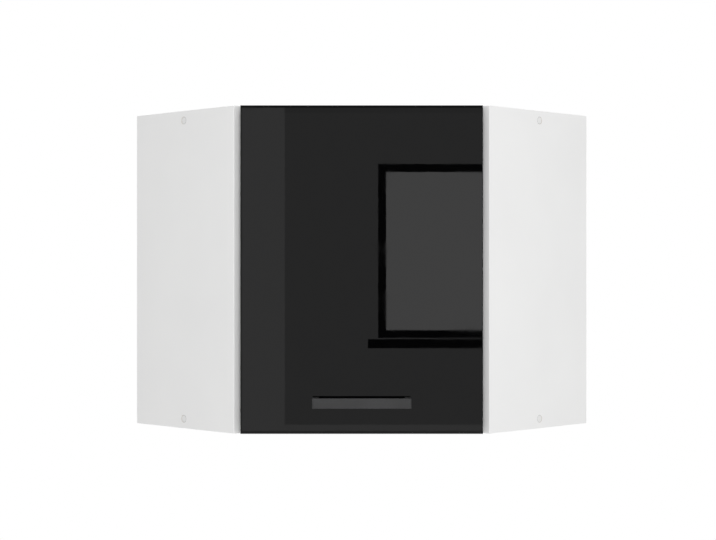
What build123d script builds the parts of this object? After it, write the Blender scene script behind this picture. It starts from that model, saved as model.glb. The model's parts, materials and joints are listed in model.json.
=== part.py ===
from build123d import *
import math
import os

# Diagonal corner wall cabinet. Millimetres, Z up, X to the right of someone facing the door, door towards -Y.
# The origin is where the two walls of the room corner meet, level with the lower ends of the sides.

# Carcass
WALL_LENGTH = 590.0
HEIGHT = 570.0
SIDE_DEPTH = 276.0
BOARD = 16.0
PANEL_INSET = 9.0
EDGING = 1.0
EDGING_ROUND = 0.8
BACK_BOARD = 3.0
BACK_RECESS = 16.0
BACK_START_GAP = 0.2
GROOVE_DEPTH = 8.0
GROOVE_SLACK = 0.5
POST = 22.0
POST_ROUND = 1.5

# Carcass joints
SCREW_LENGTH = 50.0
SCREW_SHANK = 3.4
SCREW_HEAD = 5.0
SCREW_HEAD_HEIGHT = 3.2
SCREW_SLACK = 0.1
CAP_RADIUS = 6.5
CAP_THICKNESS = 1.6
CAP_ROUND = 0.7
DOWEL_RADIUS = 4.0
DOWEL_LENGTH = 30.0
DOWEL_IN_SIDE = 11.0
DOWEL_CHAMFER = 0.8
DOWEL_SLACK = 0.05
DOWEL_FROM_EDGE = 50.0

# Shelf and its supports
SHELF_BACK_GAP = 2.0
SHELF_SIDE_GAP = 1.5
SHELF_SETBACK = 25.0
SUPPORT_RADIUS = 2.5
SUPPORT_SLACK = 0.05
SUPPORT_REACH = 9.0
SUPPORT_FLAT = 1.2
SUPPORT_COLLAR = 3.75
SUPPORT_COLLAR_HEIGHT = 1.0
SUPPORT_PITCH = 32.0
SUPPORT_STEPS = (-2, -1, 0, 1, 2)
SUPPORT_FROM_REAR = 60.0
SUPPORT_FROM_FRONT = 64.0

# Door and handle
DOOR_SIDE_GAP = 0.4
DOOR_THICKNESS = 18.0
DOOR_END_GAP = 0.2
DOOR_REAR_GAP = 2.0
DOOR_FRONT_ROUND = 2.0
DOOR_REAR_ROUND = 0.5
HANDLE_CENTRES = 160.0
HANDLE_LEG = 11.0
HANDLE_BAR = 7.0
HANDLE_HEIGHT = 17.4
HANDLE_PROJECTION = 29.0
HANDLE_ABOVE_DOOR_END = 55.0
HANDLE_BEND = 3.0
HANDLE_EDGE_ROUND = 0.6
HANDLE_SCREW = 2.0
HANDLE_SCREW_IN_LEG = 12.0
HANDLE_SCREW_HEAD = 4.0
HANDLE_SCREW_HEAD_HEIGHT = 2.4
HANDLE_HOLE_SLACK = 0.5
THREAD_SLACK = 0.05
BUMPER_RADIUS = 4.0
BUMPER_THICKNESS = 1.8
BUMPER_ROUND = 0.6
BUMPER_FROM_EDGE = 20.0

# Concealed hinges. Pivots are measured from the rear hinge-side edge of the closed door.
HINGE_FROM_END = 100.0
INNER_ARM_PIVOT = (42.0, 4.24)
INNER_CUP_PIVOT = (11.64, -2.07)
INNER_KNEE = (15.3, -4.5)
OUTER_ARM_PIVOT = (31.68, -2.71)
OUTER_CUP_PIVOT = (11.27, -4.05)
OUTER_KNEE = (15.1, -9.35)
PIN_RADIUS = 1.25
PIN_SEAT_SLACK = 0.02
PIVOT_SLACK = 0.05
OPEN_PIVOT_SLACK = 0.35
EYE_RADIUS = 2.4
LINK_HALF_WIDTH = 1.8
INNER_LINK_HALF = 4.2
LUG_INSIDE = 4.5
LUG_OUTSIDE = 6.0
OUTER_LINK_INSIDE = 6.2
OUTER_LINK_OUTSIDE = 8.6
CHEEK_INSIDE = 8.9
CHEEK_OUTSIDE = 10.3
CUP_FROM_EDGE = 22.5
CUP_RADIUS = 17.5
CUP_WALL = 0.9
CUP_DEPTH = 12.6
CUP_BORE_SLACK = 0.1
RIM_WIDTH = 1.2
RIM_THICKNESS = 0.6
WING_THICKNESS = 1.2
WING_CLEAR_OF_ARM = 11.6
CUP_SCREW_SPREAD = 22.5
CUP_SCREW_OFFSET = 9.5
CUP_SCREW_RADIUS = 1.75
CUP_SCREW_HEAD = 3.6
CUP_SCREW_HEAD_HEIGHT = 1.6
CUP_SCREW_LENGTH = 12.0
WING_END = 6.0
ARM_WEB = 2.0
ARM_WEB_ABOVE_SIDE = 10.0
ARM_CHEEK_ABOVE_SIDE = 3.0
ARM_REAR = 62.0
NOSE_UNDER = 2.6
NOSE_TOP = 11.0
NOSE_EYE = 2.9
PLATE_SETBACK = 37.0
PLATE_SCREW_SPREAD = 16.0
PLATE_THICKNESS = 2.2
PLATE_HALF_LENGTH = 10.0
PLATE_HALF_HEIGHT = 24.0
PLATE_ROUND = 4.0
RAIL_HALF_HEIGHT = 7.0
RAIL_FRONT = 16.0
PLATE_SCREW_RADIUS = 2.5
PLATE_SCREW_HEAD = 4.5
PLATE_SCREW_HEAD_HEIGHT = 1.8
PLATE_SCREW_LENGTH = 12.0
ARM_SCREWS_FROM_FRONT = (26.0, 54.0)
ARM_SCREW_RADIUS = 2.4
ARM_SCREW_HEAD = 4.2
ARM_SCREW_HEAD_HEIGHT = 2.4
ARM_SCREW_IN_RAIL = 6.0

# Cross recess in the screw heads
RECESS_WIDTH = 1.1
RECESS_DEPTH = 1.2
RECESS_SHARE = 1.15

# Wall hangers
HOUSING_WIDTH = 18.0
HOUSING_WALL = 2.5
HOUSING_LENGTH = 58.0
HOUSING_FRONT_WALL = 9.0
HOUSING_BEHIND_BACK = 0.3
HOUSING_HEIGHT = 44.0
HOUSING_BELOW_TOP = 3.0
HOUSING_SHELL = 4.0
HOUSING_ROUND = 2.0
PEG_RADIUS = 5.0
PEG_LENGTH = 10.0
PEG_SLACK = 0.05
PEGS_FROM_HOUSING_END = (14.0, 44.0)
HOOK_PLATE = 2.5
HOOK_TAIL_HALF = 4.0
HOOK_TAIL_GAP = 1.5
HOOK_WALL_GAP = 0.5
HOOK_TOOTH = 3.5
HOOK_SLOT = 5.0
HOOK_SHOULDER = 9.0
HOOK_DROP = 8.0
HOOK_SLOT_ABOVE_LEVEL = -2.0
HOOK_CORNER = 1.5
HOOK_LIFT = 6.0
HOOK_REACH_OUT = 2.0
HOOK_REACH_IN = 5.0
SLIDE_SLACK = 0.3
CARRIAGE_LENGTH = 24.0
CARRIAGE_FRONT_GAP = 2.3
CARRIAGE_HALF = 9.0
CARRIAGE_WEB = 2.5
DEPTH_SCREW_RADIUS = 2.5
HEIGHT_SCREW_RADIUS = 3.0
HEIGHT_SCREW_BELOW_TOP = 6.6
SCREW_SLOT_WIDTH = 1.0
SCREW_SLOT_DEPTH = 1.2
WINDOW_BELOW_HOUSING = 2.0
WINDOW_BESIDE_HOUSING = 4.0

ROOT2 = math.sqrt(2.0)
INNER = WALL_LENGTH - BOARD
BOTTOM_TOP = PANEL_INSET + BOARD
TOP_UNDER = HEIGHT - PANEL_INSET - BOARD
SCREW_LEVELS = (PANEL_INSET + BOARD / 2, HEIGHT - PANEL_INSET - BOARD / 2)
SCREW_FROM_REAR = SIDE_DEPTH / 2
DOWELS_FROM_REAR = (DOWEL_FROM_EDGE, SIDE_DEPTH - DOWEL_FROM_EDGE)
BACK_FACE = BACK_RECESS + BACK_BOARD
POST_CENTRE = BACK_FACE + POST / 2
POST_FACE = BACK_FACE + POST
FRONT = -(INNER + SIDE_DEPTH) / ROOT2
DOOR_BACK = FRONT - DOOR_REAR_GAP
DOOR_FRONT = DOOR_BACK - DOOR_THICKNESS
OPENING_EDGE = (SIDE_DEPTH - INNER) / ROOT2
DOOR_EDGE = OPENING_EDGE + DOOR_SIDE_GAP
BUMPER_X = -DOOR_EDGE - BUMPER_FROM_EDGE
CUP_X = DOOR_EDGE + CUP_FROM_EDGE
HINGE_HEIGHTS = {"upper": HEIGHT - HINGE_FROM_END, "lower": HINGE_FROM_END}
SHELF_UNDERSIDE = (HEIGHT - BOARD) / 2
SUPPORT_LEVEL = SHELF_UNDERSIDE - SUPPORT_FLAT
SUPPORTS_FROM_REAR = (SUPPORT_FROM_REAR, SIDE_DEPTH - SUPPORT_FROM_FRONT)
HOUSING_REAR = BACK_FACE + HOUSING_BEHIND_BACK
HOUSING_FRONT = HOUSING_REAR + HOUSING_LENGTH
HOUSING_FACE = INNER - HOUSING_WIDTH
HOUSING_TOP = TOP_UNDER - HOUSING_BELOW_TOP
HOUSING_BOTTOM = HOUSING_TOP - HOUSING_HEIGHT
HOOK_LEVEL = HOUSING_BOTTOM + HOUSING_HEIGHT / 2
HOOK_PLANE = INNER - HOUSING_WIDTH / 2
CARRIAGE_END = HOUSING_FRONT - HOUSING_FRONT_WALL - CARRIAGE_FRONT_GAP
CARRIAGE_START = CARRIAGE_END - CARRIAGE_LENGTH
HOOK_TAIL_END = CARRIAGE_END - CARRIAGE_WEB - HOOK_REACH_IN - HOOK_TAIL_GAP
HOOK_TOOTH_START = HOOK_WALL_GAP + HOOK_REACH_OUT

# In the left wall's frame X runs along the left wall from the corner and Y along the right wall.
LEFT_WALL = Location((0, 0, 0), (0, 0, -135))

os.makedirs("parts", exist_ok=True)


def save(name, *shapes):
    solids = [solid for shape in shapes for solid in shape.solids()]
    export_step(solids[0] if len(solids) == 1 else Compound(solids), f"parts/{name}.step")


def right_of(shape):
    return mirror(shape, about=Plane.YZ)


def plan(along, out):
    """A point given along and out from the left wall, in the cabinet's frame."""
    return ((out - along) / ROOT2, -(along + out) / ROOT2)


def block(x0, x1, y0, y1, z0, z1):
    return Pos(x0, y0, z0) * Box(x1 - x0, y1 - y0, z1 - z0, align=(Align.MIN, Align.MIN, Align.MIN))


def rod(radius, start, end):
    axis = Vector(*end) - Vector(*start)
    upright = (Align.CENTER, Align.CENTER, Align.MIN)
    return Plane(start, z_dir=axis) * Cylinder(radius, axis.length, align=upright)


def slab(outline, z0, z1):
    """A flat outline in plan raised from z0 to z1."""
    return Pos(0, 0, z0) * extrude(outline, amount=z1 - z0)


def both_levels(outline, inside, outside, level):
    """The same outline above and below a level, between two distances from it."""
    return slab(outline, level + inside, level + outside), slab(outline, level - outside, level - inside)


def bar(start, end, half_width):
    """A round-ended bar in plan."""
    way = Vector(*end) - Vector(*start)
    middle = (Vector(*start) + Vector(*end)) * 0.5
    angle = math.degrees(math.atan2(way.Y, way.X))
    return Pos(middle.X, middle.Y) * Rot(0, 0, angle) * SlotCenterToCenter(way.length, 2 * half_width)


def ring(point, radius):
    return Pos(*point) * Circle(radius)


def upright_edges(shape):
    return shape.edges().filter_by(Axis.Z)


def cross_recess(point, inwards, head_radius):
    """A cross for the driver, cut inwards from a point in the middle of a screw's head."""
    across = RECESS_SHARE * head_radius
    cross = Rectangle(across, RECESS_WIDTH) + Rectangle(RECESS_WIDTH, across)
    return Plane(point, z_dir=inwards) * extrude(cross, amount=RECESS_DEPTH)


# Sides: each has its machining in the left wall's frame, and the right one is its mirror image
def side_board():
    board = block(INNER, WALL_LENGTH, 0, SIDE_DEPTH - EDGING, 0, HEIGHT)
    groove_start = BACK_RECESS - GROOVE_SLACK
    board -= block(INNER, INNER + GROOVE_DEPTH, groove_start, BACK_FACE + GROOVE_SLACK, 0, HEIGHT)
    for level in SCREW_LEVELS:
        seat = WALL_LENGTH - CAP_THICKNESS
        under_head = seat - SCREW_HEAD_HEIGHT
        at = (SCREW_FROM_REAR, level)
        board -= rod(SCREW_SHANK + SCREW_SLACK, (INNER, *at), (WALL_LENGTH, *at))
        board -= rod(SCREW_HEAD + SCREW_SLACK, (under_head, *at), (WALL_LENGTH, *at))
        board -= rod(CAP_RADIUS + SCREW_SLACK, (seat, *at), (WALL_LENGTH, *at))
        for from_rear in DOWELS_FROM_REAR:
            end = INNER + DOWEL_IN_SIDE
            board -= rod(DOWEL_RADIUS + DOWEL_SLACK, (INNER, from_rear, level), (end, from_rear, level))
    for step in SUPPORT_STEPS:
        level = SUPPORT_LEVEL + step * SUPPORT_PITCH
        for from_rear in SUPPORTS_FROM_REAR:
            end = INNER + SUPPORT_REACH
            board -= rod(SUPPORT_RADIUS + SUPPORT_SLACK, (INNER, from_rear, level), (end, from_rear, level))
    for from_end in PEGS_FROM_HOUSING_END:
        at = (HOUSING_REAR + from_end, HOOK_LEVEL)
        board -= rod(PEG_RADIUS + PEG_SLACK, (INNER, *at), (INNER + PEG_LENGTH, *at))
    return board


left_side = side_board()
save("right_side_panel", right_of(LEFT_WALL * left_side))
for height in HINGE_HEIGHTS.values():
    for spread in (-PLATE_SCREW_SPREAD, PLATE_SCREW_SPREAD):
        at = (SIDE_DEPTH - PLATE_SETBACK, height + spread)
        left_side -= rod(PLATE_SCREW_RADIUS + PIN_SEAT_SLACK, (INNER, *at), (INNER + PLATE_SCREW_LENGTH, *at))
save("left_side_panel", LEFT_WALL * left_side)

side_strip = block(INNER, WALL_LENGTH, SIDE_DEPTH - EDGING, SIDE_DEPTH, 0, HEIGHT)
side_strip = fillet(upright_edges(side_strip).group_by(Axis.Y)[-1], EDGING_ROUND)
save("left_side_edging", LEFT_WALL * side_strip)
save("right_side_edging", right_of(LEFT_WALL * side_strip))


# Five-sided boards: the same outline for top and bottom, cut back and notched for the shelf
def five_sided(back, side, front, notch=0.0):
    """Outline between the two backs, the two sides and a front line at a level in Y.

    Its rear corner, on the middle plane, may be cut back by a square notch.
    """
    out = -front * ROOT2 - side
    half = [(side, back), (side, out)]
    corner = [(notch, notch), (notch, back)] if notch else [(back, back)]
    ends = [plan(*point) for point in corner + half]
    others = [(-x, y) for x, y in reversed(ends[1:])]
    return Polygon(*ends, *others, align=None)


def front_strip(side, front, z0, z1):
    """Edging along the front line of a five-sided board."""
    strip = slab(five_sided(0, side, front) - five_sided(0, side, front + EDGING), z0, z1)
    return fillet(strip.edges().filter_by(Axis.X).group_by(Axis.Y)[0], EDGING_ROUND)


def end_board(z0, groove_z0, groove_z1, level):
    board = slab(five_sided(0, INNER, FRONT + EDGING), z0, z0 + BOARD)
    groove = block(BACK_RECESS - GROOVE_SLACK, INNER, BACK_RECESS - GROOVE_SLACK, BACK_FACE + GROOVE_SLACK,
                   groove_z0, groove_z1)
    hole_end = WALL_LENGTH - CAP_THICKNESS - SCREW_LENGTH - SCREW_SLACK
    cuts = groove + rod(SCREW_SHANK + PIN_SEAT_SLACK, (hole_end, SCREW_FROM_REAR, level),
                        (INNER, SCREW_FROM_REAR, level))
    for from_rear in DOWELS_FROM_REAR:
        depth = DOWEL_LENGTH - DOWEL_IN_SIDE
        cuts += rod(DOWEL_RADIUS + DOWEL_SLACK, (INNER - depth, from_rear, level), (INNER, from_rear, level))
    cuts = LEFT_WALL * cuts
    board -= cuts
    board -= right_of(cuts)
    return board


post_at = plan(POST_CENTRE, POST_CENTRE)


def post_screw(outside, way):
    """Screw through an end board into the post, from the board's outer face; way is +1 up or -1 down."""
    under_head = outside + way * SCREW_HEAD_HEIGHT
    screw = rod(SCREW_HEAD, (*post_at, outside), (*post_at, under_head))
    screw += rod(SCREW_SHANK, (*post_at, under_head), (*post_at, outside + way * SCREW_LENGTH))
    return screw - cross_recess((*post_at, outside), (0, 0, way), SCREW_HEAD)


def post_screw_hole(outside, way):
    under_head = outside + way * SCREW_HEAD_HEIGHT
    hole = rod(SCREW_HEAD + SCREW_SLACK, (*post_at, outside), (*post_at, under_head))
    tip = (*post_at, outside + way * SCREW_LENGTH)
    return hole + rod(SCREW_SHANK + PIN_SEAT_SLACK, (*post_at, outside), tip)


top_outside = TOP_UNDER + BOARD
top = end_board(TOP_UNDER, TOP_UNDER, TOP_UNDER + GROOVE_DEPTH, SCREW_LEVELS[1])
save("top_panel", top - post_screw_hole(top_outside, -1))
bottom = end_board(PANEL_INSET, BOTTOM_TOP - GROOVE_DEPTH, BOTTOM_TOP, SCREW_LEVELS[0])
save("bottom_panel", bottom - post_screw_hole(PANEL_INSET, 1))
save("top_edging", front_strip(INNER, FRONT, TOP_UNDER, top_outside))
save("bottom_edging", front_strip(INNER, FRONT, PANEL_INSET, BOTTOM_TOP))

# Thin backs in the grooves, each with a window for the hanger's hook
back_low = BOTTOM_TOP - GROOVE_DEPTH + GROOVE_SLACK
back_high = TOP_UNDER + GROOVE_DEPTH - GROOVE_SLACK
back_end = INNER + GROOVE_DEPTH - GROOVE_SLACK


def back_board(start):
    board = block(start, back_end, BACK_RECESS, BACK_FACE, back_low, back_high)
    window = block(HOUSING_FACE - WINDOW_BESIDE_HOUSING, back_end, BACK_RECESS, BACK_FACE,
                   HOUSING_BOTTOM - WINDOW_BELOW_HOUSING, back_high)
    return LEFT_WALL * (board - window)


save("left_back_panel", back_board(BACK_RECESS))
save("right_back_panel", right_of(back_board(BACK_FACE + BACK_START_GAP)))

post = block(BACK_FACE, POST_FACE, BACK_FACE, POST_FACE, BOTTOM_TOP, TOP_UNDER)
post = fillet(upright_edges(post).group_by(Axis.X)[-1].group_by(Axis.Y)[-1], POST_ROUND)
for step in SUPPORT_STEPS:
    at = (POST_CENTRE, SUPPORT_LEVEL + step * SUPPORT_PITCH)
    post -= rod(SUPPORT_RADIUS + SUPPORT_SLACK, (POST_FACE - SUPPORT_REACH, *at), (POST_FACE, *at))
post = LEFT_WALL * post - post_screw_hole(top_outside, -1) - post_screw_hole(PANEL_INSET, 1)
save("rear_corner_post", post)

# Screws, dowels and caps in the corners
screws = [post_screw(top_outside, -1), post_screw(PANEL_INSET, 1)]
dowels = []
caps = []
for level in SCREW_LEVELS:
    at = (SCREW_FROM_REAR, level)
    seat = WALL_LENGTH - CAP_THICKNESS
    under_head = seat - SCREW_HEAD_HEIGHT
    screw = rod(SCREW_HEAD, (under_head, *at), (seat, *at))
    screw += rod(SCREW_SHANK, (seat - SCREW_LENGTH, *at), (under_head, *at))
    screw -= cross_recess((seat, *at), (-1, 0, 0), SCREW_HEAD)
    cap = rod(CAP_RADIUS, (seat, *at), (WALL_LENGTH, *at))
    cap = fillet(cap.edges().sort_by(Axis.X)[-1], CAP_ROUND)
    pieces = [(screws, screw), (caps, cap)]
    for from_rear in DOWELS_FROM_REAR:
        start = INNER + DOWEL_IN_SIDE - DOWEL_LENGTH
        dowel = rod(DOWEL_RADIUS, (start, from_rear, level), (start + DOWEL_LENGTH, from_rear, level))
        pieces.append((dowels, chamfer(dowel.edges().filter_by(GeomType.CIRCLE), DOWEL_CHAMFER)))
    for group, piece in pieces:
        group.append(LEFT_WALL * piece)
        group.append(right_of(LEFT_WALL * piece))
save("carcass_screws", *screws)
save("carcass_dowels", *dowels)
save("screw_caps", *caps)

# Shelf, its edging and the supports it lies on
shelf_back = BACK_FACE + SHELF_BACK_GAP
shelf_side = INNER - SHELF_SIDE_GAP
shelf_front = FRONT + SHELF_SETBACK
shelf_notch = POST_FACE + SHELF_BACK_GAP
shelf_outline = five_sided(shelf_back, shelf_side, shelf_front + EDGING, shelf_notch)
save("shelf", slab(shelf_outline, SHELF_UNDERSIDE, SHELF_UNDERSIDE + BOARD))
save("shelf_edging", front_strip(shelf_side, shelf_front, SHELF_UNDERSIDE, SHELF_UNDERSIDE + BOARD))


def support(face, inwards, from_rear):
    """Round peg in a hole at a face, flat on top where the shelf lies; inwards is +1 or -1 along the wall."""
    at = (from_rear, SUPPORT_LEVEL)
    tip = face + inwards * SUPPORT_REACH
    peg = rod(SUPPORT_RADIUS, (face - inwards * SUPPORT_REACH, *at), (tip, *at))
    collar_face = face + inwards * SUPPORT_COLLAR_HEIGHT
    low, high = sorted((collar_face, tip))
    peg -= block(low, high, from_rear - SUPPORT_RADIUS, from_rear + SUPPORT_RADIUS, SHELF_UNDERSIDE,
                 SHELF_UNDERSIDE + SUPPORT_RADIUS)
    return LEFT_WALL * (peg + rod(SUPPORT_COLLAR, (face, *at), (collar_face, *at)))


supports = [support(POST_FACE, 1, POST_CENTRE)]
for from_rear in SUPPORTS_FROM_REAR:
    supports.append(support(INNER, -1, from_rear))
    supports.append(right_of(support(INNER, -1, from_rear)))
save("shelf_supports", *supports)

# Door with its hinge bores and handle holes
door_low = DOOR_END_GAP
door_high = HEIGHT - DOOR_END_GAP
handle_level = door_low + HANDLE_ABOVE_DOOR_END
handle_ends = (-HANDLE_CENTRES / 2, HANDLE_CENTRES / 2)
door = block(DOOR_EDGE, -DOOR_EDGE, DOOR_FRONT, DOOR_BACK, door_low, door_high)
door = fillet(door.faces().sort_by(Axis.Y)[0].edges(), DOOR_FRONT_ROUND)
door = fillet(door.faces().sort_by(Axis.Y)[-1].edges(), DOOR_REAR_ROUND)
for x in handle_ends:
    door -= rod(HANDLE_SCREW + HANDLE_HOLE_SLACK, (x, DOOR_FRONT, handle_level), (x, DOOR_BACK, handle_level))
for height in HINGE_HEIGHTS.values():
    door -= rod(CUP_RADIUS + CUP_BORE_SLACK, (CUP_X, DOOR_BACK - CUP_DEPTH - CUP_BORE_SLACK, height),
                (CUP_X, DOOR_BACK, height))
    for spread in (-CUP_SCREW_SPREAD, CUP_SCREW_SPREAD):
        at = (CUP_X + CUP_SCREW_OFFSET, height + spread)
        door -= rod(CUP_SCREW_RADIUS + PIN_SEAT_SLACK, (at[0], DOOR_BACK - CUP_SCREW_LENGTH, at[1]),
                    (at[0], DOOR_BACK, at[1]))
save("door_panel", door)

# Handle: one bent bar with a leg at each end, held by two screws from behind the door
handle_half = (HANDLE_CENTRES + HANDLE_LEG) / 2
grip_half = (HANDLE_CENTRES - HANDLE_LEG) / 2
handle_front = DOOR_FRONT - HANDLE_PROJECTION
handle_low = handle_level - HANDLE_HEIGHT / 2
handle_high = handle_level + HANDLE_HEIGHT / 2
handle = block(-handle_half, handle_half, handle_front, DOOR_FRONT, handle_low, handle_high)
handle = fillet(upright_edges(handle).group_by(Axis.Y)[0], HANDLE_BEND)
grip = block(-grip_half, grip_half, handle_front + HANDLE_BAR, DOOR_FRONT, handle_low, handle_high)
handle -= fillet(upright_edges(grip).group_by(Axis.Y)[0], HANDLE_BEND)
rims = handle.faces().filter_by(Axis.Z).edges()
rims = rims.filter_by(lambda edge: edge.center().Y < DOOR_FRONT - HANDLE_BEND / 2)
handle = fillet(rims, HANDLE_EDGE_ROUND)
handle_screws = []
for x in handle_ends:
    tip = (x, DOOR_FRONT - HANDLE_SCREW_IN_LEG, handle_level)
    seat = (x, DOOR_BACK, handle_level)
    head_top = (x, DOOR_BACK + HANDLE_SCREW_HEAD_HEIGHT, handle_level)
    handle -= rod(HANDLE_SCREW + THREAD_SLACK, tip, (x, DOOR_FRONT, handle_level))
    head = rod(HANDLE_SCREW_HEAD, seat, head_top)
    head = fillet(head.edges().sort_by(Axis.Y)[-1], HANDLE_SCREW_HEAD_HEIGHT / 2)
    head -= cross_recess(head_top, (0, -1, 0), HANDLE_SCREW_HEAD)
    handle_screws.append(head + rod(HANDLE_SCREW, tip, seat))
save("handle", handle)
save("handle_screws", *handle_screws)

bumpers = []
for level in SCREW_LEVELS:
    at = (BUMPER_X, DOOR_BACK, level)
    bumper = rod(BUMPER_RADIUS, at, (BUMPER_X, DOOR_BACK + BUMPER_THICKNESS, level))
    bumpers.append(fillet(bumper.edges().sort_by(Axis.Y)[-1], BUMPER_ROUND))
save("door_bumpers", *bumpers)


# Concealed hinges: a cup in the door, an arm on the side, and two cranked links between them
def from_door_edge(point):
    return (DOOR_EDGE + point[0], DOOR_BACK + point[1])


inner_arm = from_door_edge(INNER_ARM_PIVOT)
inner_cup = from_door_edge(INNER_CUP_PIVOT)
inner_knee = from_door_edge(INNER_KNEE)
outer_arm = from_door_edge(OUTER_ARM_PIVOT)
outer_cup = from_door_edge(OUTER_CUP_PIVOT)
outer_knee = from_door_edge(OUTER_KNEE)


def link_outline(arm_pivot, knee, cup_pivot, cup_slack):
    """A cranked link: it dips into the cup when closed and reaches over the cup's rim when open."""
    outline = bar(arm_pivot, knee, LINK_HALF_WIDTH) + bar(knee, cup_pivot, LINK_HALF_WIDTH)
    outline += ring(arm_pivot, EYE_RADIUS)
    outline += ring(cup_pivot, EYE_RADIUS)
    return outline - ring(arm_pivot, PIN_RADIUS + PIVOT_SLACK) - ring(cup_pivot, PIN_RADIUS + cup_slack)


def side_point(from_front, above):
    """A point set back from the left side's front edge and above its inner face."""
    return plan(INNER - above, SIDE_DEPTH - from_front)


def on_side(above, level):
    """The point at a level in Y that lies a given distance above the left side's inner face."""
    return (-(INNER - above) * ROOT2 - level, level)


nose_low = DOOR_BACK + NOSE_UNDER
nose_high = DOOR_BACK + NOSE_TOP
nose_tip = inner_arm[0] + NOSE_EYE
web_above = ARM_WEB_ABOVE_SIDE + ARM_WEB
arm_outline = Polygon(side_point(ARM_REAR, ARM_CHEEK_ABOVE_SIDE), on_side(ARM_CHEEK_ABOVE_SIDE, nose_low),
                      (outer_arm[0] - NOSE_EYE, nose_low), (nose_tip, nose_low), (nose_tip, nose_high),
                      on_side(web_above, nose_high), side_point(ARM_REAR, web_above), align=None)
arm_outline += ring(inner_arm, NOSE_EYE)
arm_outline += bar(outer_arm, (outer_arm[0], nose_high - NOSE_EYE), NOSE_EYE)
pin_seats = ring(inner_arm, PIN_RADIUS + PIN_SEAT_SLACK) + ring(outer_arm, PIN_RADIUS + PIN_SEAT_SLACK)
web_outline = Polygon(side_point(ARM_REAR, ARM_WEB_ABOVE_SIDE),
                      on_side(ARM_WEB_ABOVE_SIDE, nose_high - ARM_WEB),
                      (nose_tip, nose_high - ARM_WEB), (nose_tip, nose_high), on_side(web_above, nose_high),
                      side_point(ARM_REAR, web_above), align=None)
cup_floor = DOOR_BACK - CUP_DEPTH
cup_inside = CUP_RADIUS - CUP_WALL
outer_pins = both_levels(ring(outer_cup, PIN_RADIUS), OUTER_LINK_INSIDE, CUP_RADIUS, 0)
outer_pin_seats = both_levels(ring(outer_cup, PIN_RADIUS + PIN_SEAT_SLACK), OUTER_LINK_INSIDE, CUP_RADIUS, 0)
cup_body = rod(CUP_RADIUS, (CUP_X, cup_floor, 0), (CUP_X, DOOR_BACK, 0))


def hinge_cup(level):
    """Cup with a thin rim, two screw wings and two lugs that hold the inner link's pin."""
    face = Plane((CUP_X, DOOR_BACK, level), x_dir=(1, 0, 0), z_dir=(0, 1, 0))
    screws_at = [Pos(CUP_SCREW_OFFSET, spread) for spread in (-CUP_SCREW_SPREAD, CUP_SCREW_SPREAD)]
    rim = Circle(CUP_RADIUS + RIM_WIDTH)
    wings = make_hull([edge for at in screws_at for edge in (at * Circle(WING_END)).edges()] + rim.edges())
    passage = Rectangle(2 * (CUP_RADIUS + CUP_SCREW_SPREAD), 2 * WING_CLEAR_OF_ARM)
    wings -= passage
    cup = face * extrude(Circle(CUP_RADIUS), amount=-CUP_DEPTH)
    cup += face * extrude(rim - passage, amount=RIM_THICKNESS)
    cup += face * extrude(wings, amount=WING_THICKNESS)
    cup -= rod(cup_inside, (CUP_X, cup_floor + CUP_WALL, level), (CUP_X, DOOR_BACK + WING_THICKNESS, level))
    for at in screws_at:
        cup -= face * extrude(at * Circle(CUP_SCREW_RADIUS + PIN_SEAT_SLACK), amount=WING_THICKNESS)
    lug = bar(inner_cup, (inner_cup[0], cup_floor + EYE_RADIUS), EYE_RADIUS)
    for piece in both_levels(lug, LUG_INSIDE, LUG_OUTSIDE, level):
        cup += piece
    cup -= slab(ring(inner_cup, PIN_RADIUS + PIN_SEAT_SLACK), level - LUG_OUTSIDE, level + LUG_OUTSIDE)
    for hole in outer_pin_seats:
        cup -= Pos(0, 0, level) * hole
    return cup


def hinge_plate(level):
    """Mounting plate on the side: a screwed base with a raised rail that carries the arm."""
    middle = SIDE_DEPTH - PLATE_SETBACK
    base = block(INNER - PLATE_THICKNESS, INNER, middle - PLATE_HALF_LENGTH, middle + PLATE_HALF_LENGTH,
                 level - PLATE_HALF_HEIGHT, level + PLATE_HALF_HEIGHT)
    base = fillet(base.edges().filter_by(Axis.X), PLATE_ROUND)
    base += block(INNER - ARM_WEB_ABOVE_SIDE, INNER, SIDE_DEPTH - ARM_REAR, SIDE_DEPTH - RAIL_FRONT,
                  level - RAIL_HALF_HEIGHT, level + RAIL_HALF_HEIGHT)
    return LEFT_WALL * (base - plate_screws(level, PIN_SEAT_SLACK) - arm_screws(level, PIN_SEAT_SLACK))


def plate_screws(level, slack):
    screws = Part()
    for spread in (-PLATE_SCREW_SPREAD, PLATE_SCREW_SPREAD):
        at = (SIDE_DEPTH - PLATE_SETBACK, level + spread)
        top_face = INNER - PLATE_THICKNESS
        screws += rod(PLATE_SCREW_HEAD + slack, (top_face, *at), (top_face + PLATE_SCREW_HEAD_HEIGHT, *at))
        screws += rod(PLATE_SCREW_RADIUS + slack, (top_face, *at), (INNER + PLATE_SCREW_LENGTH, *at))
    return screws


def arm_screws(level, slack):
    """Clamping and adjusting screw: their heads lie on the arm's web and their ends are in the rail."""
    screws = Part()
    web_top = INNER - web_above
    for from_front in ARM_SCREWS_FROM_FRONT:
        at = (SIDE_DEPTH - from_front, level)
        rail_end = INNER - ARM_WEB_ABOVE_SIDE + ARM_SCREW_IN_RAIL
        screws += rod(ARM_SCREW_HEAD, (web_top - ARM_SCREW_HEAD_HEIGHT, *at), (web_top, *at))
        screws += rod(ARM_SCREW_RADIUS + slack, (web_top, *at), (rail_end, *at))
    return screws


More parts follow.
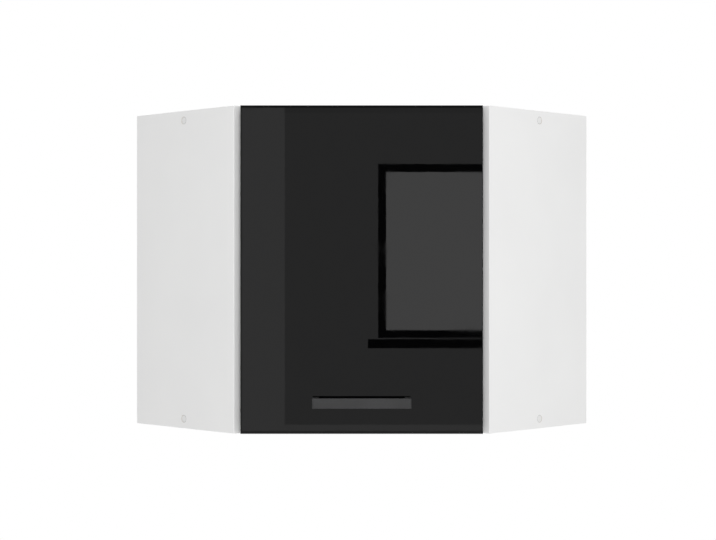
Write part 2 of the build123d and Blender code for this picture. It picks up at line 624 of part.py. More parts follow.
plate_screw_group = []
arm_screw_group = []
cup_screw_group = []
for which, level in HINGE_HEIGHTS.items():
    save(f"{which}_hinge_cup", hinge_cup(level))
    save(f"{which}_hinge_plate", hinge_plate(level))
    arm = slab(web_outline, level - CHEEK_INSIDE, level + CHEEK_INSIDE)
    for cheek in both_levels(arm_outline - pin_seats, CHEEK_INSIDE, CHEEK_OUTSIDE, level):
        arm += cheek
    arm -= LEFT_WALL * arm_screws(level, PIN_SEAT_SLACK)
    save(f"{which}_hinge_arm", arm)
    inner_link = link_outline(inner_arm, inner_knee, inner_cup, PIVOT_SLACK)
    save(f"{which}_hinge_inner_link", slab(inner_link, level - INNER_LINK_HALF, level + INNER_LINK_HALF))
    outer_link = link_outline(outer_arm, outer_knee, outer_cup, OPEN_PIVOT_SLACK)
    save(f"{which}_hinge_outer_links", *both_levels(outer_link, OUTER_LINK_INSIDE, OUTER_LINK_OUTSIDE, level))
    arm_pin = slab(ring(inner_arm, PIN_RADIUS), level - CHEEK_OUTSIDE, level + CHEEK_OUTSIDE)
    save(f"{which}_hinge_arm_pins", arm_pin,
         *both_levels(ring(outer_arm, PIN_RADIUS), OUTER_LINK_INSIDE, CHEEK_OUTSIDE, level))
    cup_pin = slab(ring(inner_cup, PIN_RADIUS), level - LUG_OUTSIDE, level + LUG_OUTSIDE)
    save(f"{which}_hinge_cup_pins", cup_pin, *[Pos(0, 0, level) * (pin & cup_body) for pin in outer_pins])
    plate_screw = plate_screws(level, 0)
    for spread in (-PLATE_SCREW_SPREAD, PLATE_SCREW_SPREAD):
        head_top = (INNER - PLATE_THICKNESS, SIDE_DEPTH - PLATE_SETBACK, level + spread)
        plate_screw -= cross_recess(head_top, (1, 0, 0), PLATE_SCREW_HEAD)
    plate_screw_group.append(LEFT_WALL * plate_screw)
    arm_screw = arm_screws(level, 0)
    for from_front in ARM_SCREWS_FROM_FRONT:
        head_top = (INNER - web_above - ARM_SCREW_HEAD_HEIGHT, SIDE_DEPTH - from_front, level)
        arm_screw -= cross_recess(head_top, (1, 0, 0), ARM_SCREW_HEAD)
    arm_screw_group.append(LEFT_WALL * arm_screw)
    for spread in (-CUP_SCREW_SPREAD, CUP_SCREW_SPREAD):
        x = CUP_X + CUP_SCREW_OFFSET
        z = level + spread
        seat = DOOR_BACK + WING_THICKNESS
        head_top = (x, seat + CUP_SCREW_HEAD_HEIGHT, z)
        head = rod(CUP_SCREW_HEAD, (x, seat, z), head_top)
        head = fillet(head.edges().sort_by(Axis.Y)[-1], CUP_SCREW_HEAD_HEIGHT / 2)
        head -= cross_recess(head_top, (0, -1, 0), CUP_SCREW_HEAD)
        shank = rod(CUP_SCREW_RADIUS, (x, DOOR_BACK - CUP_SCREW_LENGTH, z), (x, seat, z))
        cup_screw_group.append(head + shank)
save("hinge_plate_screws", *plate_screw_group)
save("hinge_arm_screws", *arm_screw_group)
save("hinge_cup_screws", *cup_screw_group)

# Wall hangers: a hook that a depth screw moves in a carriage, which a height screw moves in the housing
cavity_face = HOUSING_FACE + HOUSING_WALL
cavity_base = INNER - HOUSING_WALL
cavity_front = HOUSING_FRONT - HOUSING_FRONT_WALL
height_screw_level = HOUSING_TOP - HEIGHT_SCREW_BELOW_TOP
housing = block(HOUSING_FACE, INNER, HOUSING_REAR, HOUSING_FRONT, HOUSING_BOTTOM, HOUSING_TOP)
housing = fillet(housing.faces().sort_by(Axis.X)[0].edges(), HOUSING_ROUND)
housing -= block(cavity_face, cavity_base, HOUSING_REAR, cavity_front, HOUSING_BOTTOM + HOUSING_SHELL,
                 HOUSING_TOP - HOUSING_SHELL)
access_half = DEPTH_SCREW_RADIUS + SLIDE_SLACK
access = block(HOOK_PLANE - access_half, HOOK_PLANE + access_half, cavity_front, HOUSING_FRONT,
               HOOK_LEVEL - HOOK_LIFT - access_half, HOOK_LEVEL + HOOK_LIFT + access_half)
housing -= access
housing -= rod(HEIGHT_SCREW_RADIUS + PIVOT_SLACK, (HOOK_PLANE, cavity_front, height_screw_level),
               (HOOK_PLANE, HOUSING_FRONT, height_screw_level))
for from_end in PEGS_FROM_HOUSING_END:
    at = (HOUSING_REAR + from_end, HOOK_LEVEL)
    housing += rod(PEG_RADIUS, (INNER, *at), (INNER + PEG_LENGTH, *at))

carriage = block(cavity_face + SLIDE_SLACK, cavity_base - SLIDE_SLACK, CARRIAGE_START, CARRIAGE_END,
                 HOOK_LEVEL - CARRIAGE_HALF, HOOK_LEVEL + CARRIAGE_HALF)
slot_half = HOOK_PLATE / 2 + SLIDE_SLACK
carriage -= block(HOOK_PLANE - slot_half, HOOK_PLANE + slot_half, CARRIAGE_START, CARRIAGE_END - CARRIAGE_WEB,
                  HOOK_LEVEL - HOOK_TAIL_HALF - SLIDE_SLACK, HOOK_LEVEL + HOOK_TAIL_HALF + SLIDE_SLACK)
carriage -= rod(DEPTH_SCREW_RADIUS + PIVOT_SLACK, (HOOK_PLANE, CARRIAGE_END - CARRIAGE_WEB, HOOK_LEVEL),
                (HOOK_PLANE, CARRIAGE_END, HOOK_LEVEL))

tooth_end = HOOK_TOOTH_START + HOOK_TOOTH
slot_end = tooth_end + HOOK_SLOT
shoulder_end = slot_end + HOOK_SHOULDER
hook_top = HOOK_LEVEL + HOOK_TAIL_HALF
hook_under = HOOK_LEVEL - HOOK_TAIL_HALF
hook_low = hook_under - HOOK_DROP
slot_top = HOOK_LEVEL + HOOK_SLOT_ABOVE_LEVEL
hook_outline = Polyline((HOOK_TAIL_END, hook_top), (HOOK_TOOTH_START, hook_top), (HOOK_TOOTH_START, hook_low),
                        (tooth_end, hook_low), (tooth_end, slot_top), (slot_end, slot_top),
                        (slot_end, hook_low), (shoulder_end, hook_low), (shoulder_end, hook_under),
                        (HOOK_TAIL_END, hook_under), close=True)
hook_side = Plane((HOOK_PLANE - HOOK_PLATE / 2, 0, 0), x_dir=(0, 1, 0), z_dir=(1, 0, 0))
hook = extrude(hook_side * make_face(hook_outline), amount=HOOK_PLATE, dir=(1, 0, 0))
hook = fillet(hook.edges().filter_by(Axis.X).group_by(Axis.Y)[0], HOOK_CORNER)


def slotted_screw(radius, start, end, level):
    """Round screw along the side with a straight slot across its outer end."""
    screw = rod(radius, (HOOK_PLANE, start, level), (HOOK_PLANE, end, level))
    half = SCREW_SLOT_WIDTH / 2
    return screw - block(HOOK_PLANE - half, HOOK_PLANE + half, end - SCREW_SLOT_DEPTH, end, level - radius,
                         level + radius)


hanger = {
    "hanger_housing": housing,
    "hanger_carriage": carriage,
    "hanger_hook": hook,
    "height_screw": slotted_screw(HEIGHT_SCREW_RADIUS, cavity_front, HOUSING_FRONT, height_screw_level),
    "depth_screw": slotted_screw(DEPTH_SCREW_RADIUS, CARRIAGE_END - CARRIAGE_WEB, HOUSING_FRONT, HOOK_LEVEL),
}
for name, piece in hanger.items():
    save(f"left_{name}", LEFT_WALL * piece)
    save(f"right_{name}", right_of(LEFT_WALL * piece))
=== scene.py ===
import json
import math

import bpy
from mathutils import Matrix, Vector


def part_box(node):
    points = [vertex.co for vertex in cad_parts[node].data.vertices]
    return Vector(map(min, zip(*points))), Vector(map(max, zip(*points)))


# Diagonal corner wall cabinet: white faced boards, a black high gloss door and a dark grey handle.
# Metres, Z up, door towards -Y, as in the frame. Every visible piece is a node of the frame.
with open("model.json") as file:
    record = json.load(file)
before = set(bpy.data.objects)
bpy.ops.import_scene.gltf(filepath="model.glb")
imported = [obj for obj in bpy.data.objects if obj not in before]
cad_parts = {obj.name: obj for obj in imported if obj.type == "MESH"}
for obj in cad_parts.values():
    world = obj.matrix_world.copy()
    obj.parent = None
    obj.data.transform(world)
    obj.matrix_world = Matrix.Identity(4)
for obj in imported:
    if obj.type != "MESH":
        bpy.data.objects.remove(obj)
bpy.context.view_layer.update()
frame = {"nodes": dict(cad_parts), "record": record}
door_low, door_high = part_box("door_panel")
DOOR_FRONT = door_low.y
MIDDLE_HEIGHT = (door_low.z + door_high.z) / 2

# Directions: the sides stand at 45 degrees to the door
HALF_ROOT = math.sqrt(0.5)
LEFT_OUT = (-HALF_ROOT, -HALF_ROOT, 0.0)
RIGHT_OUT = (HALF_ROOT, -HALF_ROOT, 0.0)
BACKWARDS = (0.0, 1.0, 0.0)
UP = (0.0, 0.0, 1.0)

# Camera, level with the middle of the door; the shifts move the picture in its frame
IMAGE_WIDTH = 716
FOCAL_PIXELS = 1634.0
SENSOR_MM = 36.0
CAMERA_AHEAD = 2.8303
SHIFT_RIGHT_PIXELS = 3.7
SHIFT_UP_PIXELS = 0.4

# A surface faces a direction from this cosine on, and is covered within this depth below the outermost face.
# A cap's rim, painted dark grey as painted shade, passes into its flat face between the two cosines of its
# rounding.
FACING = 0.9
FACE_SKIN = 0.0003
CAP_PAINTED_SHADE_FADE = (0.80, 0.99)

# White faces: brightness of each kind, how much it wanders, and the pearled grain
BOARD_WHITE = 0.84
EDGING_WHITE = 0.85
SHEET_WHITE = 0.82
WHITE_DARKER = (-0.012, -0.012, -0.015)
WHITE_LIGHTER = (0.008, 0.008, 0.004)
WHITE_ROUGHNESS = (0.32, 0.44)
PEARL_STRENGTH = 0.22
PEARL_DEPTH = 0.0002

# Raw boards: colours at places in the range of tones, and where the core ends and the dust begins,
# as shares of half the thickness
FLAKES_PER_METRE = 520.0
FLAKE_FLATNESS = 2.6
FLAKE_SHADING = 0.40
FLAKE_TONES = ((0.18, (0.24, 0.155, 0.085)), (0.42, (0.50, 0.365, 0.22)), (0.85, (0.70, 0.56, 0.38)))
CORE_ENDS = 0.50
DUST_BEGINS = 0.72
CHIPBOARD_ROUGHNESS = 0.8
HARDBOARD_ROUGHNESS = 0.72

# Cards and flags that only reflections see
CARD_AHEAD = 4.5
CARD_REACH = 1.8
CARD_STEP = 0.004
BAND_EDGE = -0.345
STRIP_TOP = 1.008
FLAG_GAP = 0.2
FLAG_BESIDE_LEVEL = 0.12
FLAG_ACROSS_LEVEL = 0.10

# Floor far below the hung cabinet: solid up to one radius, faded out at the other
FLOOR_HEIGHT = -1.45
FLOOR_SOLID_RADIUS = 2.4
FLOOR_RADIUS = 6.0
FLOOR_SIDES = 96
FLOOR_LIFT = 0.33

# Light
DOME_LEVEL = 0.50
WHITE_LEVEL = 1.0
LAMPS = {
    "front": {"place": (0.1, -3.4, 0.5), "aim": (0.0, -0.5, MIDDLE_HEIGHT), "size": 1.2, "power": 43.0},
    "right": {"place": (2.6, -1.9, 0.6), "aim": (0.2, -0.5, MIDDLE_HEIGHT), "size": 1.4, "power": 6.0},
    "overhead": {"place": (0.0, -0.9, 3.2), "aim": (0.0, -0.5, 0.0), "size": 2.4, "power": 28.0},
}


class Shader:
    """A material with one Principled shader, and the nodes that feed it."""

    def __init__(self, name):
        self.material = bpy.data.materials.new(name)
        self.material.use_nodes = True
        self.tree = self.material.node_tree
        self.bsdf = self.tree.nodes["Principled BSDF"]
        coordinates = self.node("TexCoord")
        self.place = coordinates.outputs["Object"]
        self.normal = coordinates.outputs["Normal"]

    def node(self, kind, **settings):
        node = self.tree.nodes.new("ShaderNode" + kind)
        for name, value in settings.items():
            setattr(node, name, value)
        return node

    def feed(self, socket, value):
        """Link an output to a socket, or set a constant on it."""
        if isinstance(value, bpy.types.NodeSocket):
            self.tree.links.new(value, socket)
        else:
            socket.default_value = value

    def stretched(self, scale, turn=0.0):
        """The place turned about Z, then scaled along each axis."""
        node = self.node("Mapping", vector_type="TEXTURE")
        self.feed(node.inputs["Rotation"], (0.0, 0.0, turn))
        self.feed(node.inputs["Scale"], [1.0 / item for item in scale])
        self.feed(node.inputs["Vector"], self.place)
        return node.outputs["Vector"]

    def warped(self, place, per_metre, amount):
        """A place pushed about by noise, so that cell borders turn ragged."""
        noise = self.node("TexNoise")
        self.feed(noise.inputs["Scale"], per_metre)
        self.feed(noise.inputs["Vector"], place)
        push = self.node("VectorMath", operation="MULTIPLY_ADD")
        for socket, value in zip(push.inputs, (noise.outputs["Color"], (amount, amount, amount), place)):
            self.feed(socket, value)
        return push.outputs["Vector"]

    def noise(self, per_metre, detail=3.0, roughness=0.55, place=None, distortion=0.0):
        node = self.node("TexNoise")
        self.feed(node.inputs["Scale"], per_metre)
        self.feed(node.inputs["Detail"], detail)
        self.feed(node.inputs["Roughness"], roughness)
        self.feed(node.inputs["Distortion"], distortion)
        self.feed(node.inputs["Vector"], place or self.place)
        return node.outputs["Fac"]

    def cells(self, per_metre, place, output):
        node = self.node("TexVoronoi")
        self.feed(node.inputs["Scale"], per_metre)
        self.feed(node.inputs["Vector"], place)
        return node.outputs[output]

    def math(self, operation, *values):
        node = self.node("Math", operation=operation)
        for socket, value in zip(node.inputs, values):
            self.feed(socket, value)
        return node.outputs["Value"]

    def span(self, value, to, of=(0.0, 1.0)):
        """A value that runs over one range, carried over to another."""
        node = self.node("MapRange")
        for name, item in zip(("From Min", "From Max", "To Min", "To Max"), (*of, *to)):
            self.feed(node.inputs[name], item)
        self.feed(node.inputs["Value"], value)
        return node.outputs["Result"]

    def ramp(self, value, *stops):
        """Colours at places along a value's range."""
        node = self.node("ValToRGB")
        elements = node.color_ramp.elements
        for position, _ in stops[len(elements):]:
            elements.new(position)
        for element, (position, colour) in zip(elements, stops):
            element.position = position
            element.color = (*colour, 1.0)
        self.feed(node.inputs["Fac"], value)
        return node.outputs["Color"]

    def cloudy(self, value, dark, light, low=0.3, high=0.7):
        """Two colours that a noise drifts between."""
        return self.ramp(value, (low, dark), (high, light))

    def mix(self, factor, first, second, data_type="RGBA", socket_type="RGBA"):
        """Between two colours."""
        node = self.node("Mix", data_type=data_type)
        self.feed(node.inputs["Factor"], factor)
        ends = [item for item in node.inputs if item.type == socket_type][-2:]
        for socket, value in zip(ends, (first, second)):
            self.feed(socket, value)
        return next(item for item in node.outputs if item.type == socket_type)

    def blend(self, factor, first, second):
        """Between two numbers."""
        return self.mix(factor, first, second, data_type="FLOAT", socket_type="VALUE")

    def along(self, vector, direction):
        """How far a vector reaches along a direction."""
        node = self.node("VectorMath", operation="DOT_PRODUCT")
        self.feed(node.inputs[0], vector)
        self.feed(node.inputs[1], direction)
        return node.outputs["Value"]

    def turned_to(self, direction):
        """1 where the surface faces a direction, else 0."""
        return self.math("GREATER_THAN", self.along(self.normal, direction), FACING)

    def from_middle(self, direction, low, high):
        """How far a point lies from the middle of a stretch between two places along a direction."""
        middle = (low + high) / 2
        return self.math("ABSOLUTE", self.math("SUBTRACT", self.along(self.place, direction), middle))

    def outermost(self, direction, low, high):
        """1 on the two outermost faces of a stretch along a direction, else 0."""
        covered_from = (high - low) / 2 - FACE_SKIN
        facing = self.math("ABSOLUTE", self.along(self.normal, direction))
        squarely = self.math("GREATER_THAN", facing, FACING)
        outside = self.math("GREATER_THAN", self.from_middle(direction, low, high), covered_from)
        return self.math("MULTIPLY", squarely, outside)

    def bump(self, height, strength, distance, below=None):
        node = self.node("Bump")
        self.feed(node.inputs["Strength"], strength)
        self.feed(node.inputs["Distance"], distance)
        self.feed(node.inputs["Height"], height)
        if below is not None:
            self.feed(node.inputs["Normal"], below)
        return node.outputs["Normal"]

    def finish(self, colour, roughness, normal=None, **constants):
        self.feed(self.bsdf.inputs["Base Color"], colour)
        self.feed(self.bsdf.inputs["Roughness"], roughness)
        if normal is not None:
            self.feed(self.bsdf.inputs["Normal"], normal)
        for name, value in constants.items():
            self.feed(self.bsdf.inputs[name.replace("_", " ")], value)
        return self.material


# Boards
def chipboard(shader, through, depth, half):
    """Colour and height of a raw edge: coarse flat flakes in the core, fine dust towards both faces."""
    turn = math.atan2(through[1], through[0])
    flat = (1.0, 1.0, FLAKE_FLATNESS) if through == UP else (FLAKE_FLATNESS, 1.0, 1.0)
    flakes = shader.warped(shader.stretched(flat, turn), per_metre=900.0, amount=0.0012)
    shade = shader.noise(per_metre=2600.0, detail=4.0, roughness=0.7, place=flakes)
    tone = shader.blend(FLAKE_SHADING, shader.cells(FLAKES_PER_METRE, flakes, "Color"), shade)
    core = shader.ramp(tone, *FLAKE_TONES)
    dust = shader.cloudy(shade, dark=(0.40, 0.29, 0.175), light=(0.64, 0.50, 0.33))
    outer = shader.span(depth, of=(CORE_ENDS * half, DUST_BEGINS * half), to=(0.0, 1.0))
    height = shader.blend(outer, shader.cells(FLAKES_PER_METRE, flakes, "Distance"), shade)
    return shader.mix(outer, core, dust), height


def melamine(shader, white):
    """Colour, roughness and height of a white face with a fine pearled grain."""
    dark = [white + item for item in WHITE_DARKER]
    light = [white + item for item in WHITE_LIGHTER]
    colour = shader.cloudy(shader.noise(per_metre=7.0, detail=2.0), dark, light)
    roughness = shader.span(shader.noise(per_metre=26.0, detail=4.0), to=WHITE_ROUGHNESS)
    pearl = shader.noise(per_metre=1500.0, detail=2.0, roughness=0.6)
    return colour, roughness, pearl


def reach(node, direction):
    """The lowest and highest place of a node along a direction."""
    places = [vertex.co.dot(Vector(direction)) for vertex in frame["nodes"][node].data.vertices]
    return min(places), max(places)


def board(node, through, *ends):
    """White faced board: covered on its faces through the thickness and on the named ends, raw elsewhere."""
    shader = Shader("board_" + node)
    low, high = reach(node, through)
    covered = shader.outermost(through, low, high)
    for end in ends:
        covered = shader.math("MAXIMUM", covered, shader.outermost(end, *reach(node, end)))
    depth = shader.from_middle(through, low, high)
    raw_colour, raw_height = chipboard(shader, through, depth, (high - low) / 2)
    white, white_roughness, pearl = melamine(shader, BOARD_WHITE)
    colour = shader.mix(covered, raw_colour, white)
    roughness = shader.blend(covered, CHIPBOARD_ROUGHNESS, white_roughness)
    flakes = shader.bump(raw_height, shader.span(covered, to=(0.8, 0.0)), distance=0.0006)
    normal = shader.bump(pearl, shader.span(covered, to=(0.0, PEARL_STRENGTH)), PEARL_DEPTH, below=flakes)
    return shader.finish(colour, roughness, normal)


def wrapped_post():
    """Post that is white all round."""
    shader = Shader("wrapped_post")
    colour, roughness, pearl = melamine(shader, BOARD_WHITE)
    return shader.finish(colour, roughness, shader.bump(pearl, PEARL_STRENGTH, PEARL_DEPTH))


def edging():
    """Glossier white strip with faint upright lines."""
    shader = Shader("white_edging")
    colour, roughness, pearl = melamine(shader, EDGING_WHITE)
    lines = shader.noise(per_metre=240.0, roughness=0.5, place=shader.stretched((6.0, 6.0, 0.4)))
    grain = shader.bump(pearl, strength=0.05, distance=PEARL_DEPTH)
    normal = shader.bump(lines, strength=0.05, distance=PEARL_DEPTH, below=grain)
    return shader.finish(colour, shader.span(roughness, of=WHITE_ROUGHNESS, to=(0.24, 0.36)), normal)


def back_sheet(name, inwards):
    """Thin hardboard: white lacquer inside, brown and pressed behind."""
    shader = Shader(name)
    inside = shader.turned_to(inwards)
    white, white_roughness, pearl = melamine(shader, SHEET_WHITE)
    fibre = shader.noise(per_metre=420.0, detail=5.0, roughness=0.7, distortion=0.6)
    brown = shader.cloudy(fibre, dark=(0.24, 0.145, 0.075), light=(0.39, 0.255, 0.145), low=0.25, high=0.75)
    roughness = shader.blend(inside, HARDBOARD_ROUGHNESS, white_roughness)
    grain = shader.bump(pearl, strength=0.08, distance=PEARL_DEPTH)
    normal = shader.bump(fibre, shader.span(inside, to=(0.5, 0.0)), distance=0.0005, below=grain)
    return shader.finish(shader.mix(inside, brown, white), roughness, normal)


# Door and handle
def door():
    """Black high gloss on the front and the edges, white melamine behind."""
    shader = Shader("black_gloss_door")
    behind = shader.turned_to(BACKWARDS)
    white, white_roughness, pearl = melamine(shader, BOARD_WHITE)
    cloud = shader.noise(per_metre=30.0)
    black = shader.cloudy(cloud, dark=(0.0008, 0.0008, 0.0009), light=(0.0012, 0.0012, 0.0013))
    smears = shader.noise(per_metre=9.0, detail=6.0, roughness=0.62, distortion=1.4)
    black_roughness = shader.span(smears, of=(0.45, 0.8), to=(0.008, 0.035))
    roughness = shader.blend(behind, black_roughness, white_roughness)
    peel = shader.noise(per_metre=85.0, detail=2.0, roughness=0.4)
    grain = shader.bump(pearl, shader.span(behind, to=(0.0, 0.10)), PEARL_DEPTH)
    normal = shader.bump(peel, shader.span(behind, to=(0.004, 0.0)), distance=0.0004, below=grain)
    return shader.finish(shader.mix(behind, black, white), roughness, normal)


def handle():
    """Dark grey satin metal, brushed along its length."""
    shader = Shader("dark_grey_handle")
    lengthwise = shader.stretched((0.02, 1.0, 1.0))
    brushed = shader.noise(per_metre=1300.0, detail=4.0, roughness=0.65, place=lengthwise)
    speck = shader.noise(per_metre=2600.0, detail=2.0, roughness=0.5)
    cloud = shader.noise(per_metre=18.0)
    brushed_share = 0.6
    tone = shader.blend(brushed_share, cloud, brushed)
    colour = shader.cloudy(tone, dark=(0.031, 0.031, 0.032), light=(0.045, 0.045, 0.046))
    dull = shader.bump(speck, strength=0.10, distance=0.0002)
    normal = shader.bump(brushed, strength=0.30, distance=0.0003, below=dull)
    return shader.finish(colour, shader.span(brushed, of=(0.3, 0.7), to=(0.36, 0.58)), normal)


# Fittings
def plated(name, dark, light, roughness, streak):
    """Plated steel with fine drawing lines, cloudy gloss and dulled spots."""
    shader = Shader(name)
    lines = shader.noise(per_metre=3600.0, roughness=0.6, place=shader.stretched(streak))
    cloud = shader.noise(per_metre=90.0, detail=5.0, roughness=0.6)
    colour = shader.cloudy(cloud, dark, light)
    dulled = shader.span(shader.math("ADD", lines, cloud), of=(0.6, 1.4), to=roughness)
    return shader.finish(colour, dulled, shader.bump(lines, strength=0.06, distance=0.0001), Metallic=1.0)


def spark_eroded(shader, roughness, fineness=900.0):
    """Roughness and normal of moulded plastic with a fine texture."""
    texture = shader.noise(per_metre=fineness, roughness=0.6)
    return shader.span(texture, to=roughness), shader.bump(texture, strength=0.12, distance=0.0003)


def moulded(name, dark, light, roughness, fineness=900.0):
    """Moulded plastic."""
    shader = Shader(name)
    colour = shader.cloudy(shader.noise(per_metre=25.0), dark, light)
    return shader.finish(colour, *spark_eroded(shader, roughness, fineness))


def screw_cap():
    """White plastic cap whose rounded rim is painted dark grey: painted shade for the gap around it."""
    shader = Shader("white_cap_painted_rim_shade")
    facing = [shader.along(shader.normal, side) for side in (LEFT_OUT, RIGHT_OUT)]
    flat = shader.span(shader.math("MAXIMUM", *facing), of=CAP_PAINTED_SHADE_FADE, to=(0.0, 1.0))
    cloud = shader.noise(per_metre=25.0)
    face = shader.cloudy(cloud, dark=(0.775, 0.775, 0.77), light=(0.795, 0.795, 0.79))
    # Painted shade: the rim's dark grey stands in for the shade in the gap around the cap, not for its own
    # colour.
    rim = shader.cloudy(cloud, dark=(0.24, 0.24, 0.24), light=(0.28, 0.28, 0.28))
    return shader.finish(shader.mix(flat, rim, face), *spark_eroded(shader, roughness=(0.4, 0.55)))


def beech():
    """Turned wood with its grain lying level, as the dowels do."""
    shader = Shader("beech")
    level = shader.stretched((0.12, 0.12, 1.0))
    grain = shader.noise(per_metre=260.0, detail=6.0, roughness=0.65, place=level, distortion=0.8)
    colour = shader.cloudy(grain, dark=(0.44, 0.27, 0.13), light=(0.66, 0.47, 0.28), low=0.25, high=0.75)
    normal = shader.bump(grain, strength=0.25, distance=0.0005)
    return shader.finish(colour, shader.span(grain, to=(0.5, 0.7)), normal)


# A node's own material comes before that of its slot in the record
NODE_MATERIALS = {
    "left_side_panel": board("left_side_panel", LEFT_OUT, UP),
    "right_side_panel": board("right_side_panel", RIGHT_OUT, UP),
    "top_panel": board("top_panel", UP),
    "bottom_panel": board("bottom_panel", UP),
    "shelf": board("shelf", UP),
    "rear_corner_post": wrapped_post(),
    "left_back_panel": back_sheet("back_left", inwards=RIGHT_OUT),
    "right_back_panel": back_sheet("back_right", inwards=LEFT_OUT),
    "door_panel": door(),
    "handle": handle(),
    "screw_caps": screw_cap(),
}
SLOT_MATERIALS = {
    "edging": edging(),
    "beech": beech(),
    "zinc_steel": plated("zinc_steel", dark=(0.56, 0.56, 0.55), light=(0.70, 0.70, 0.68),
                         roughness=(0.28, 0.44), streak=(1.0, 1.0, 0.2)),
    "nickel_steel": plated("nickel_steel", dark=(0.74, 0.72, 0.68), light=(0.81, 0.79, 0.75),
                           roughness=(0.16, 0.30), streak=(1.0, 1.0, 0.15)),
    "hook_steel": plated("hook_steel", dark=(0.52, 0.52, 0.50), light=(0.66, 0.66, 0.63),
                         roughness=(0.32, 0.50), streak=(0.2, 0.2, 1.0)),
    "white_plastic": moulded("white_plastic", dark=(0.80, 0.80, 0.78), light=(0.84, 0.84, 0.82),
                             roughness=(0.38, 0.52)),
    "grey_plastic": moulded("grey_plastic", dark=(0.40, 0.40, 0.39), light=(0.47, 0.47, 0.46),
                            roughness=(0.45, 0.6)),
    "bumper": moulded("soft_bumper", dark=(0.70, 0.70, 0.69), light=(0.76, 0.76, 0.75),
                      roughness=(0.3, 0.45), fineness=500.0),
}
for row in frame["record"]["subparts"]:
    slots = frame["nodes"][row["node"]].data.materials
    slots.clear()
    slots.append(NODE_MATERIALS.get(row["node"]) or SLOT_MATERIALS[row["material_slot"]])


# Stage
def place_in_scene(name, data):
    obj = bpy.data.objects.new(name, data)
    bpy.context.scene.collection.objects.link(obj)
    return obj


def card(name, level, *corners):
    """A flat card that is seen only in reflections, with a plain brightness."""
    mesh = bpy.data.meshes.new(name)
    mesh.from_pydata(corners, [], [range(len(corners))])
    material = bpy.data.materials.new(name)
    material.use_nodes = True
    nodes = material.node_tree.nodes
    nodes.clear()
    emission = nodes.new("ShaderNodeEmission")
    emission.inputs["Color"].default_value = (level, level, level, 1.0)
    output = nodes.new("ShaderNodeOutputMaterial")
    material.node_tree.links.new(emission.outputs["Emission"], output.inputs["Surface"])
    mesh.materials.append(material)
    obj = place_in_scene(name, mesh)
    for kind in ("camera", "diffuse", "transmission", "volume_scatter", "shadow"):
        setattr(obj, "visible_" + kind, False)


# Brightness, then left, right, lower and upper edges; each card stands a little nearer than the one before
REFLECTED = {
    "card_middle": (0.45, -CARD_REACH, CARD_REACH, -CARD_REACH, CARD_REACH),
    "card_left": (0.70, -CARD_REACH, BAND_EDGE, -CARD_REACH, CARD_REACH),
    "card_low": (0.68, BAND_EDGE, CARD_REACH, -CARD_REACH, -0.41),
    "softbox_rim": (0.0, 0.0735, CARD_REACH, -0.021, 0.758),
    "softbox": (1.20, 0.1095, CARD_REACH, 0.014, 0.7215),
    "softbox_bar": (0.0, 0.028, CARD_REACH, -0.067, -0.026),
    "card_far_left": (0.36, -CARD_REACH, -0.5375, -CARD_REACH, CARD_REACH),
    "card_below": (0.36, -CARD_REACH, CARD_REACH, -CARD_REACH, -0.437),
    "card_strip": (0.40, BAND_EDGE, CARD_REACH, 0.985, STRIP_TOP),
    "card_above": (0.08, -CARD_REACH, CARD_REACH, STRIP_TOP, CARD_REACH),
}
near = DOOR_FRONT - FLAG_GAP
far = DOOR_FRONT - CARD_AHEAD
for step, (name, (level, x0, x1, z0, z1)) in enumerate(REFLECTED.items()):
    y = far + step * CARD_STEP
    card(name, level, (x0, y, z0), (x1, y, z0), (x1, y, z1), (x0, y, z1))

# Flags stand from near the door to the cards, on both sides, below and above
flag_low = MIDDLE_HEIGHT - CARD_REACH
flag_high = MIDDLE_HEIGHT + CARD_REACH
for x in (-CARD_REACH, CARD_REACH):
    card("flag_beside", FLAG_BESIDE_LEVEL,
         (x, near, flag_low), (x, far, flag_low), (x, far, flag_high), (x, near, flag_high))
for z in (flag_low, flag_high):
    card("flag_across", FLAG_ACROSS_LEVEL,
         (-CARD_REACH, near, z), (CARD_REACH, near, z), (CARD_REACH, far, z), (-CARD_REACH, far, z))


def pale_floor():
    """Pale matt floor that fades out towards its rim and is clear from below."""
    shader = Shader("pale_floor")
    tint = shader.cloudy(shader.noise(per_metre=3.0), dark=(0.955, 0.955, 0.955), light=(0.965, 0.965, 0.965))
    seen = shader.node("LightPath").outputs["Is Camera Ray"]
    shader.feed(shader.bsdf.inputs["Emission Strength"], shader.math("MULTIPLY", seen, FLOOR_LIFT))
    length = shader.node("VectorMath", operation="LENGTH")
    shader.feed(length.inputs[0], shader.place)
    fade = shader.span(length.outputs["Value"], of=(FLOOR_SOLID_RADIUS, FLOOR_RADIUS), to=(1.0, 0.0))
    upper_face = shader.math("SUBTRACT", 1.0, shader.node("NewGeometry").outputs["Backfacing"])
    shader.feed(shader.bsdf.inputs["Alpha"], shader.math("MULTIPLY", upper_face, fade))
    return shader.finish(tint, roughness=0.8, Specular_IOR_Level=0.0, Emission_Color=(1.0, 1.0, 1.0, 1.0))


floor_mesh = bpy.data.meshes.new("floor")
angles = [2.0 * math.pi * step / FLOOR_SIDES for step in range(FLOOR_SIDES)]
rim = [(FLOOR_RADIUS * math.cos(angle), FLOOR_RADIUS * math.sin(angle), FLOOR_HEIGHT) for angle in angles]
floor_mesh.from_pydata(rim, [], [range(FLOOR_SIDES)])
floor_mesh.materials.append(pale_floor())
place_in_scene("floor", floor_mesh)


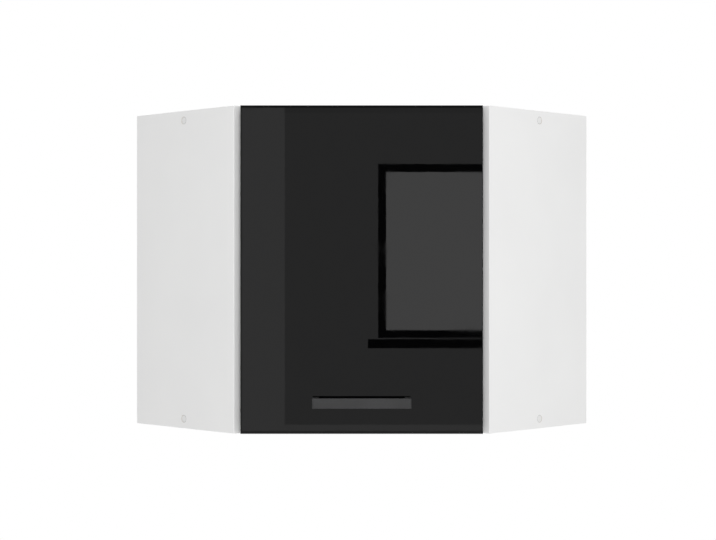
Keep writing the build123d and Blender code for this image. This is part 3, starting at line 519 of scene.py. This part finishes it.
def studio_world():
    """White where it is seen, mirrored or looked through, and a soft dome of light otherwise."""
    world = bpy.data.worlds.new("studio")
    world.use_nodes = True
    nodes = world.node_tree.nodes
    links = world.node_tree.links
    nodes.clear()
    path = nodes.new("ShaderNodeLightPath")
    seen = path.outputs["Is Camera Ray"]
    for name in ("Is Glossy Ray", "Is Transmission Ray"):
        either = nodes.new("ShaderNodeMath")
        either.operation = "MAXIMUM"
        links.new(seen, either.inputs[0])
        links.new(path.outputs[name], either.inputs[1])
        seen = either.outputs["Value"]
    chooser = nodes.new("ShaderNodeMixShader")
    links.new(seen, chooser.inputs["Fac"])
    for socket, strength in zip(chooser.inputs[1:], (DOME_LEVEL, WHITE_LEVEL)):
        background = nodes.new("ShaderNodeBackground")
        background.inputs["Color"].default_value = (1.0, 1.0, 1.0, 1.0)
        background.inputs["Strength"].default_value = strength
        links.new(background.outputs["Background"], socket)
    output = nodes.new("ShaderNodeOutputWorld")
    links.new(chooser.outputs["Shader"], output.inputs["Surface"])
    return world


def lamp(name, place, aim, size, power):
    """A square area lamp that neither the camera nor reflections see."""
    data = bpy.data.lights.new(name, "AREA")
    data.shape = "SQUARE"
    data.size = size
    data.energy = power
    obj = place_in_scene(name, data)
    obj.location = place
    obj.rotation_euler = (Vector(aim) - Vector(place)).to_track_quat("-Z", "Y").to_euler()
    obj.visible_camera = False
    obj.visible_glossy = False


bpy.context.scene.world = studio_world()
for name, settings in LAMPS.items():
    lamp(name, **settings)

camera_data = bpy.data.cameras.new("camera")
camera_data.sensor_width = SENSOR_MM
camera_data.sensor_fit = "HORIZONTAL"
camera_data.lens = FOCAL_PIXELS * SENSOR_MM / IMAGE_WIDTH
camera_data.shift_x = -SHIFT_RIGHT_PIXELS / IMAGE_WIDTH
camera_data.shift_y = -SHIFT_UP_PIXELS / IMAGE_WIDTH
camera = place_in_scene("camera", camera_data)
camera.location = (0.0, DOOR_FRONT - CAMERA_AHEAD, MIDDLE_HEIGHT)
camera.rotation_euler = (math.pi / 2, 0.0, 0.0)
bpy.context.scene.camera = camera
bpy.context.scene.view_settings.view_transform = "Standard"
